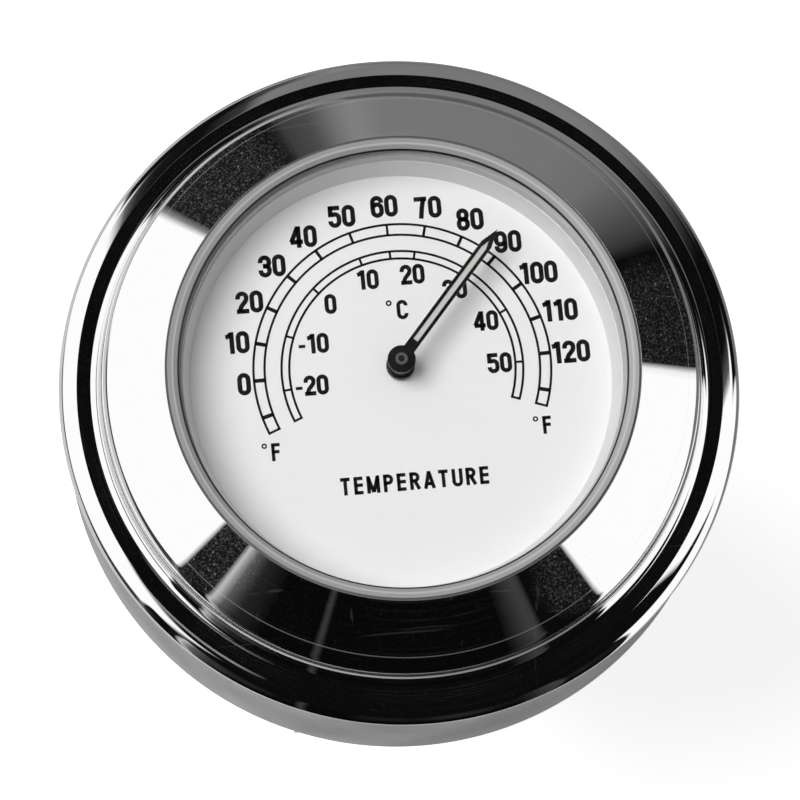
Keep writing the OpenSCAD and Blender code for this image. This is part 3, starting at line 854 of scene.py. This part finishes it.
def make_saddle():
    """Upper half of the clamp: ears, neck and the round seat under the cup."""
    outline = rounded([
        (-EAR_Y, HALF_GAP, 0.4),
        (-EAR_Y, EAR_Z, EAR_ROUND),
        (-NECK_Y, EAR_Z, NECK_FILLET),
        (-NECK_Y, SADDLE_TOP_Z, 0),
        (NECK_Y, SADDLE_TOP_Z, 0),
        (NECK_Y, EAR_Z, NECK_FILLET),
        (EAR_Y, EAR_Z, EAR_ROUND),
        (EAR_Y, HALF_GAP, 0.4),
    ])
    saddle = pulled("cast_saddle", outline, CLAMP_W, CAST_EDGE)
    cove_x = SEAT_DISC_R + SEAT_COVE_OUT
    section = [Vector((0, SEAT_FOOT_Z)), Vector((cove_x - SEAT_COVE_R, SEAT_FOOT_Z))]
    for k in range(SEAT_COVE_STEPS + 1):
        a = math.pi - math.radians(SEAT_COVE_SWEEP) * k / SEAT_COVE_STEPS
        x = cove_x + SEAT_COVE_R * math.cos(a)
        z = SEAT_COVE_Z + SEAT_COVE_R * math.sin(a)
        section.append(Vector((x, z)))
    rim_z = section[-1].y + 0.1
    for corner in ((SEAT_DISC_R, rim_z), (SEAT_DISC_R, SEAT_DISC_Z), (0, SEAT_DISC_Z)):
        section.append(Vector(corner))
    change_by(saddle, lathe("round_seat", section, 128), "UNION")
    change_by(saddle, bar_cutter(BORE_R, 0, 4 * CLAMP_W), "DIFFERENCE")
    tapped_r = BOLT_R + TAPPED_PLAY
    hole = [(0, -1), (tapped_r, -1), (tapped_r, TAPPED_TOP_Z), (0, TAPPED_TOP_Z)]
    for side in (-1, 1):
        change_by(saddle, bar_cutter(FLANGE_R, side * CLAMP_W, CLAMP_W), "DIFFERENCE")
        change_by(saddle, bolt_hole(side, hole), "DIFFERENCE")
    even_shading(saddle)
    finish_piece(saddle, "head", "chrome", CLAMP_CHROME, "saddle")


def make_bolts():
    """Socket head screws with a knurled head: one is modelled, the other is its copy."""
    low, high = HEAD_Z
    section = rounded([
        (0, low, 0),
        (HEAD_R, low, 0.3),
        (HEAD_R, high, 0.15),
        (BOLT_R, high, 0),
        (BOLT_R, BOLT_TIP_Z, 0.4),
        (0, BOLT_TIP_Z, 0),
    ], 30)
    bolt = lathe("socket_screws", section, BOLT_STEPS, -BOLT_Y)
    for vertex in bolt.data.vertices:
        x = vertex.co.x / MM
        y = vertex.co.y / MM + BOLT_Y
        column = round(math.degrees(math.atan2(y, x)) * BOLT_STEPS / 360)
        vertex.select = math.hypot(x, y) > HEAD_R - 0.1 and column % 2 == 0
    select(bolt)
    for edge in bolt.data.edges:
        edge.select = False
    for face in bolt.data.polygons:
        face.select = False
    editing()
    middle = (0, -BOLT_Y * MM, 0)
    bpy.ops.transform.resize(value=(KNURL_SHARE, KNURL_SHARE, 1), center_override=middle)
    leave()
    place = (0, -BOLT_Y * MM, (low + (HEX_DEPTH - 1) / 2) * MM)
    deselect()
    depth = (HEX_DEPTH + 1) * MM
    bpy.ops.mesh.primitive_cylinder_add(vertices=6, radius=HEX_R * MM, depth=depth, location=place)
    apply_place()
    change_by(bolt, bpy.context.object, "DIFFERENCE")
    other = twin(bolt)
    select(other)
    other.location.y = 2 * BOLT_Y * MM
    apply_place()
    both = join([bolt, other], "socket_screws")
    even_shading(both)
    finish_piece(both, "lower_clamp", "steel", STEEL, "clamp_bolts")


def put_on_dial(obj, radius, clockwise, turned=True):
    """Moves a piece out from the scales' middle and turns it with the scale, or leaves it upright."""
    a = math.radians(clockwise)
    select(obj)
    x = SCALE_X + radius * math.sin(a)
    y = SCALE_Y + radius * math.cos(a)
    place = Vector((x, y, DIAL_Z - INK_T / 2)) * MM
    obj.matrix_world = Matrix.Translation(place) @ Matrix.Rotation(-a if turned else 0, 4, "Z")
    apply_place()
    return obj


def pen_stroke(x, y, heading, width, moves):
    """One stroke of a flat pen in the XY plane: an edge across the heading, which is extruded for every
    straight length and spun for every turn (radius, degrees, left being positive)."""
    deselect()
    bpy.ops.mesh.primitive_plane_add(size=MM)
    obj = bpy.context.object
    editing("EDGE")
    bpy.ops.mesh.select_all(action="SELECT")
    bpy.ops.transform.resize(value=(0, width, 1))
    merge(0.001)
    leave()
    turned = Matrix.Rotation(math.radians(heading), 4, "Z")
    obj.matrix_world = Matrix.Translation((x * MM, y * MM, 0)) @ turned
    apply_place()
    editing("EDGE")
    bpy.ops.mesh.select_all(action="SELECT")
    at = Vector((x, y, 0))
    for length, turn in moves:
        ahead = Vector((math.cos(math.radians(heading)), math.sin(math.radians(heading)), 0))
        if turn == 0:
            bpy.ops.mesh.extrude_region_move(TRANSFORM_OT_translate={"value": ahead * length * MM})
            at = at + ahead * length
            continue
        side = Vector((-ahead.y, ahead.x, 0)) * (1 if turn > 0 else -1)
        centre = at + side * length
        steps = max(3, round(abs(turn) / (3 if length > 3 else 15)))
        bpy.ops.mesh.spin(steps=steps, angle=-math.radians(turn), center=centre * MM, axis=(0, 0, 1))
        at = centre + Matrix.Rotation(math.radians(turn), 3, "Z") @ (at - centre)
        heading += turn
    bpy.ops.mesh.select_all(action="SELECT")
    bpy.ops.mesh.remove_doubles(threshold=0.002 * MM)
    bpy.ops.mesh.extrude_region_move(TRANSFORM_OT_translate={"value": (0, 0, INK_T * MM)})
    face_outwards()
    leave()
    return obj


def glyph(strokes, height, width, bold):
    """A character from its strokes, its middle at the origin."""
    parts = []
    for x, y, heading, moves, *thin in strokes:
        reach = [(length * height, turn) for length, turn in moves]
        pen = bold * height * (thin[0] if thin else 1)
        left = (x - width / 2) * height
        foot = (y - 0.5) * height
        parts.append(pen_stroke(left, foot, heading, pen, reach))
    return join(parts, "glyph")


# Characters that are drawn already, to be copied
DRAWN = {}


def word(text, height, gap, bold):
    """Characters of one size set side by side, the middle of the whole at the origin."""
    widths = [SHAPES[c][0] for c in text]
    start = -(sum(widths) + gap * (len(text) - 1)) / 2
    parts = []
    for c, width in zip(text, widths):
        key = (c, height, bold)
        if key not in DRAWN:
            DRAWN[key] = glyph(SHAPES[c][1], height, width, bold)
        copy = twin(DRAWN[key])
        copy.location.x = (start + width / 2) * height * MM
        start += width + gap
        parts.append(copy)
    select(*parts)
    apply_place()
    return join(parts, "word")


STROKE = 0.185
HALF = STROKE / 2
DIGIT_W = 0.57
RIGHT = DIGIT_W - HALF
BOWL = DIGIT_W / 2 - HALF
LOW = HALF + BOWL
HIGH = 1 - LOW
SIDE = HIGH - LOW
DIAL_STROKE = 0.21
SIGN_STROKE = 0.19
WORD_STROKE = 0.2

# Each character has a width and its strokes, in shares of its height. A stroke starts at x, y with a
# heading in degrees. Its moves are a length with 0, or a radius with the degrees of a turn, left being
# positive. A last number makes a stroke thinner.
SHAPES = {
    "0": (DIGIT_W, [(HALF, LOW, 90, [(SIDE, 0), (BOWL, -180), (SIDE, 0), (BOWL, -180)])]),
    "1": (0.44, [(0.3, 0, 90, [(1, 0)]), (0.03, 0.78, 10, [(0.06, 0), (0.22, 64)])]),
    "2": (DIGIT_W, [
        (HALF, HIGH - 0.06, 90, [(0.06, 0), (BOWL, -180), (0.3, -42), (0.2, 0), (0.34, 42), (0.06, 0)]),
        (0.01, HALF, 0, [(DIGIT_W - 0.01, 0)]),
    ]),
    "3": (DIGIT_W, [
        (HALF, HIGH - 0.05, 90, [(0.05, 0), (BOWL, -180), (0.05, 0), (0.16, -90), (0.1, 0)]),
        (HALF, LOW + 0.05, -90, [(0.05, 0), (BOWL, 180), (0.05, 0), (0.18, 90), (0.1, 0)]),
    ]),
    "4": (0.56, [
        (0.38, 0, 90, [(1, 0)]),
        (0.36, 0.97, 245, [(0.76, 0)]),
        (0.0, 0.27, 0, [(0.56, 0)]),
    ]),
    "5": (DIGIT_W, [
        (0.03, 1 - HALF, 0, [(DIGIT_W - 0.07, 0)]),
        (0.11, 1, -91, [(0.5, 0)]),
        (HALF, LOW + 0.03, -90, [(0.03, 0), (BOWL, 180), (0.14, 0), (BOWL, 140)]),
    ]),
    "6": (DIGIT_W, [
        (RIGHT, HIGH - 0.04, 90, [(0.04, 0), (BOWL, 180), (SIDE, 0), (BOWL, 180), (0.13, 0), (BOWL, 150)]),
    ]),
    "7": (DIGIT_W, [
        (0, 1 - HALF, 0, [(DIGIT_W, 0)]),
        (0.44, 0.95, -104, [(0.3, 0), (2.2, 6), (0.44, 0)]),
    ]),
    "8": (DIGIT_W, [
        (HALF + 0.015, 0.7, 90, [(0.055, 0), (BOWL - 0.015, -180), (0.055, 0), (BOWL - 0.015, -180)]),
        (HALF, LOW, 90, [(0.055, 0), (BOWL, -180), (0.055, 0), (BOWL, -180)]),
    ]),
    "9": (DIGIT_W, [
        (HALF, LOW + 0.04, -90, [(0.04, 0), (BOWL, 180), (SIDE, 0), (BOWL, 180), (0.13, 0), (BOWL, 150)]),
    ]),
    "-": (0.36, [(0, 0.4, 0, [(0.33, 0)], 0.75)]),
    "o": (0.3, [(0.04, 0.88, 90, [(0.11, -180), (0.11, -180)], 0.45)]),
    "A": (0.62, [
        (0.07, 0, 76, [(1.02, 0)]),
        (0.55, 0, 104, [(1.02, 0)]),
        (0.14, 0.28, 0, [(0.34, 0)]),
    ]),
    "C": (DIGIT_W, [
        (RIGHT, HIGH - 0.02, 90, [(0.02, 0), (BOWL, 180), (SIDE, 0), (BOWL, 180), (0.02, 0)]),
    ]),
    "E": (0.5, [
        (HALF, 0, 90, [(1, 0)]),
        (0, HALF, 0, [(0.5, 0)]),
        (0, 0.52, 0, [(0.5, 0)]),
        (0, 1 - HALF, 0, [(0.5, 0)]),
    ]),
    "F": (0.48, [
        (HALF, 0, 90, [(1, 0)]),
        (0, 0.52, 0, [(0.44, 0)]),
        (0, 1 - HALF, 0, [(0.48, 0)]),
    ]),
    "M": (0.72, [
        (HALF, 0, 90, [(1, 0)]),
        (0.72 - HALF, 0, 90, [(1, 0)]),
        (0.09, 0.97, -74, [(0.95, 0)]),
        (0.63, 0.97, -106, [(0.95, 0)]),
    ]),
    "P": (0.54, [(HALF, 0, 90, [(1, 0)]), (0, 1 - HALF, 0, [(0.26, 0), (0.2, -180), (0.26, 0)])]),
    "R": (0.56, [
        (HALF, 0, 90, [(1, 0)]),
        (0, 1 - HALF, 0, [(0.26, 0), (0.2, -180), (0.26, 0)]),
        (0.26, 0.54, -65, [(0.58, 0)]),
    ]),
    "T": (0.54, [(0.27, 0, 90, [(1, 0)]), (0, 1 - HALF, 0, [(0.54, 0)])]),
    "U": (0.56, [(HALF, 1, -90, [(0.72, 0), (0.2025, 180), (0.72, 0)])]),
}


def scale_print(name, radii, ticks, growth):
    """Two arcs, ticks between them that grow thicker towards the sides, and a line across each end."""
    low, high = radii
    parts = []
    for radius in radii:
        first, last = SCALE_ENDS
        x = radius * math.sin(math.radians(first))
        y = radius * math.cos(math.radians(first))
        arc = pen_stroke(x, y, -first, LINE_W, [(radius, first - last)])
        parts.append(put_on_dial(arc, 0, 0))
    for clockwise in ticks:
        width = LINE_W + growth * abs(math.sin(math.radians(clockwise)))
        tick = pen_stroke(0, low - high, 90, width, [(high - low, 0)])
        parts.append(put_on_dial(tick, high, clockwise))
    for clockwise in SCALE_ENDS:
        end = pen_stroke(0, low - high - LINE_W / 2, 90, LINE_W, [(high - low + LINE_W, 0)])
        parts.append(put_on_dial(end, high, clockwise))
    finish_piece(join(parts, name), "head", "black_paint", INK)


def numerals(name, values, place, height):
    parts = []
    for value in values:
        number = word(str(value), height, NUMERAL_GAP, DIAL_STROKE)
        parts.append(put_on_dial(number, *place(value), False))
    finish_piece(join(parts, name), "head", "black_paint", INK)


def fahrenheit_angle(value):
    return DEGREES_PER_F * (value - MIDDLE_F)


def celsius_angle(value):
    return DEGREES_PER_C * (value - MIDDLE_C)


def fahrenheit_place(value):
    """Radius and angle of a number, which differ a little towards the sides."""
    a = fahrenheit_angle(value)
    s = math.sin(math.radians(a))
    radius = FAHRENHEIT_NUMERALS_R + SIDES_OUT * s - (ZERO_IN if value == 0 else 0)
    return radius, a - NUMERALS_BACK + SIDES_TURN * s


def celsius_place(value):
    """Radius and angle of a number, closer in where it has a sign before it."""
    return CELSIUS_NUMERALS_R - (SIGNED_IN if value < 0 else 0), celsius_angle(value)


def make_dial_print():
    tens_f = [fahrenheit_angle(value) for value in TENS_F]
    scale_print("scale_fahrenheit", FAHRENHEIT_R, tens_f, TICK_GROWTH)
    tens_c = [celsius_angle(value) for value in (-20, -10, 0, 10, SIXTY_F_IN_C, 20, 30, 40, 50)]
    scale_print("scale_celsius", CELSIUS_R, tens_c, 0)
    numerals("numerals_fahrenheit", range(0, 121, 10), fahrenheit_place, FAHRENHEIT_NUMERAL_H)
    numerals("numerals_celsius", range(-20, 51, 10), celsius_place, CELSIUS_NUMERAL_H)
    signs = []
    for text, height, radius, clockwise in UNIT_SIGNS:
        sign = word(text, height, LETTER_GAP, SIGN_STROKE)
        signs.append(put_on_dial(sign, radius, clockwise, False))
    finish_piece(join(signs, "unit_signs"), "head", "black_paint", INK)
    letters = word("TEMPERATURE", WORD_H, LETTER_GAP, WORD_STROKE)
    title = put_on_dial(letters, *WORD_PLACE, False)
    title.name = "dial_word"
    finish_piece(title, "head", "black_paint", INK)
    for drawn in DRAWN.values():
        bpy.data.objects.remove(drawn)


def dress_nodes():
    """Gives each node that keeps its shape its finish."""
    for material, names in (
        (GLASS, ["crystal"]),
        (GASKET, ["crystal_gasket"]),
        (WHITE_PLASTIC, ["dial_ring"]),
        (DIAL_WHITE, ["dial_plate"]),
        (BLACK_PAINT, ["pointer"]),
        (HUB_PAINT, ["pointer_hub"]),
        (PALE_PAINT, ["pointer_stripe"]),
        (STAFF_STEEL, ["staff"]),
        (STEEL, ["bridge_screws", "housing_screws", "lock_washers"]),
        (SHADED_CUP_CHROME, ["housing_cup"]),
        (BLACK_RUBBER, ["bezel_seal", "liner_upper", "liner_lower"]),
        (BLACK_PLASTIC, ["inner_sleeve", "movement_holder"]),
        (BRASS, ["front_bush", "rear_bush", "bridge_plate", "bridge_pillars"]),
        (BRASS, ["coil_collet", "anchor_post"]),
        (BIMETAL, ["bimetal_coil"]),
    ):
        for name in names:
            for slot in node[name].material_slots:
                slot.material = material
    node["crystal"].visible_shadow = False
    node["crystal"].visible_diffuse = False


# Studio

FLOOR_SIZE = 4.0
FLOOR_Z = -47.0
FLOOR_FRONT_Y = -65.0
FLOOR_GREY = (0.8, 0.8, 0.8)
FLOOR_GLOW = 0.65

# Where the floor's far part begins, in metres, and how its grey goes from left to right, as painted shade
# that only metal mirrors
FLOOR_FAR = (0.075, 0.12)
FLOOR_LEFT = (-0.1, -0.04)
FAR_SHADE_GREYS = (0.6, 0.24)

LAMP_SIZE = 0.5
LAMP_POWER = 4.2
LAMP_FROM = (-0.42, 0.12, 0.8)
LAMP_AWAY = 0.7

# What stands round the part, low down and higher up: angle in degrees from +X and brightness
LOW_PANELS = [
    (0, 1.05), (8.4, 1.05), (8.7, 0.003), (33, 0.003), (35, 0.035), (40, 0.08), (48, 0.16), (56, 0.185),
    (86, 0.19), (91, 0.235), (94, 0.18), (98, 0.075), (103, 0.045), (104.4, 0.004), (127.9, 0.004),
    (128.2, 1.05), (207.1, 1.05), (207.4, 0.003), (217.4, 0.003), (217.6, 0.6), (220.3, 0.1),
    (224.5, 0.018), (232, 0.002), (245.95, 0.002), (246.12, 0.05), (246.24, 0.002), (293, 0.002),
    (300.8, 0.055), (301.3, 0.003), (317.4, 0.003), (317.7, 1.05), (360, 1.05),
]
HIGH_PANELS = [
    (0, 1.05), (19.7, 1.05), (21.7, 0.12), (25, 0.035), (26.5, 0.003), (38, 0.003), (41, 0.014),
    (44.5, 0.045), (49, 0.095), (53, 0.16), (58, 0.2), (88, 0.19), (97.5, 0.2), (99.5, 0.04),
    (103.7, 0.014), (105.7, 0.003), (114, 0.008), (117.3, 0.03), (119.5, 0.11), (121.6, 0.55),
    (124, 1.05), (208, 1.05), (216, 0.003), (350.5, 0.003), (353.5, 1.05), (360, 1.05),
]

# Share of a dark gap at the foot of the low panels, by angle
PANEL_GAPS = [(0, 0), (150, 0), (160, 1), (206, 1), (212, 0), (360, 0)]
GAP_GREY = 0.04

# How high each stretch goes over into the next, as the upward part of a direction
GAP_TO = (0.1, 0.13)
HIGH_FROM = (0.6, 0.66)
OVERHEAD_FROM = (0.954, 0.96)

OVERHEAD = 0.003
SOFT_LIGHT = 0.33


def panel_ramp(tree, around, stops):
    made = tree.nodes.new("ShaderNodeValToRGB")
    tree.links.new(around, made.inputs["Fac"])
    elements = made.color_ramp.elements
    while len(elements) < len(stops):
        elements.new(0.5)
    for element, (angle, value) in zip(elements, stops):
        element.position = angle / 360
        element.color = (value, value, value, 1)
    return made.outputs["Color"]


def make_world():
    """Soft white panels left and right, a grey one behind twelve o'clock and darkness behind six."""
    world = bpy.data.worlds.new("studio")
    bpy.context.scene.world = world
    world.use_nodes = True
    tree = world.node_tree
    back = tree.nodes["Background"]
    look = split_axes(tree, tree.nodes.new("ShaderNodeTexCoord").outputs["Generated"])
    turn = math_node(tree, "ARCTAN2", look["Y"], look["X"])
    around = math_node(tree, "WRAP", math_node(tree, "DIVIDE", turn, 2 * math.pi), 1.0)
    around.node.inputs[2].default_value = 0.0
    below = ramp(tree, look["Z"], *GAP_TO, 1.0, 0.0)
    gap = math_node(tree, "MULTIPLY", below, panel_ramp(tree, around, PANEL_GAPS))
    low = mixed(tree, gap, panel_ramp(tree, around, LOW_PANELS), GAP_GREY)
    high = panel_ramp(tree, around, HIGH_PANELS)
    sides = mixed(tree, ramp(tree, look["Z"], *HIGH_FROM), low, high)
    seen = mixed(tree, ramp(tree, look["Z"], *OVERHEAD_FROM), sides, OVERHEAD)
    path = tree.nodes.new("ShaderNodeLightPath")
    shown = mixed(tree, path.outputs["Is Glossy Ray"], SOFT_LIGHT, seen)
    bright = math_node(tree, "MAXIMUM", shown, path.outputs["Is Camera Ray"])
    tree.links.new(bright, back.inputs["Color"])
    back.inputs["Strength"].default_value = 1.0


def make_lamp():
    """The main soft lamp, above and to the left of the dial."""
    data = bpy.data.lights.new("main_lamp", "AREA")
    data.shape = "DISK"
    data.size = LAMP_SIZE
    data.energy = LAMP_POWER
    obj = bpy.data.objects.new("main_lamp", data)
    bpy.context.scene.collection.objects.link(obj)
    aim = Vector((0, 0, DIAL_Z * MM))
    place = aim + Vector(LAMP_FROM).normalized() * LAMP_AWAY
    obj.location = place
    obj.rotation_euler = (aim - place).to_track_quat("-Z", "Y").to_euler()
    obj.visible_glossy = False


def make_floor():
    """A pale floor, seen from above only, so that the back of the clamp can be looked at too. Where metal
    mirrors it, its far part has painted shade, darker mostly on the right."""
    deselect()
    place = (0, FLOOR_SIZE / 2 + FLOOR_FRONT_Y * MM, FLOOR_Z * MM)
    bpy.ops.mesh.primitive_plane_add(size=FLOOR_SIZE, location=place)
    obj = named("floor")
    apply_place()
    material, tree, shader = new_material("pale_floor", FLOOR_GREY, 0.0, 0.9)
    path = tree.nodes.new("ShaderNodeLightPath")
    direct = path.outputs["Is Camera Ray"]
    straight = math_node(tree, "MAXIMUM", direct, path.outputs["Is Transmission Ray"])
    tree.links.new(math_node(tree, "MULTIPLY", straight, FLOOR_GLOW), shader.inputs["Emission Strength"])
    shader.inputs["Emission Color"].default_value = (1, 1, 1, 1)
    away = tree.nodes.new("ShaderNodeVectorMath")
    away.operation = "LENGTH"
    tree.links.new(object_place(tree), away.inputs[0])
    # Painted shade: darker greys on the far floor, seen only in metal
    far = ramp(tree, away.outputs["Value"], *FLOOR_FAR)
    in_metal = math_node(tree, "MULTIPLY", far, path.outputs["Is Glossy Ray"])
    across = split_axes(tree, object_place(tree))["X"]
    far_painted_shade = ramp(tree, across, *FLOOR_LEFT, *FAR_SHADE_GREYS)
    blend_colour(tree, shader, in_metal, FLOOR_GREY, far_painted_shade)
    behind = tree.nodes.new("ShaderNodeNewGeometry").outputs["Backfacing"]
    clear = tree.nodes.new("ShaderNodeBsdfTransparent")
    either = tree.nodes.new("ShaderNodeMixShader")
    tree.links.new(behind, either.inputs[0])
    tree.links.new(shader.outputs["BSDF"], either.inputs[1])
    tree.links.new(clear.outputs["BSDF"], either.inputs[2])
    tree.links.new(either.outputs["Shader"], tree.nodes["Material Output"].inputs["Surface"])
    obj.data.materials.append(material)


camera()
make_bezel()
make_saddle()
make_cap()
make_bolts()
make_dial_print()
dress_nodes()
make_world()
make_lamp()
make_floor()
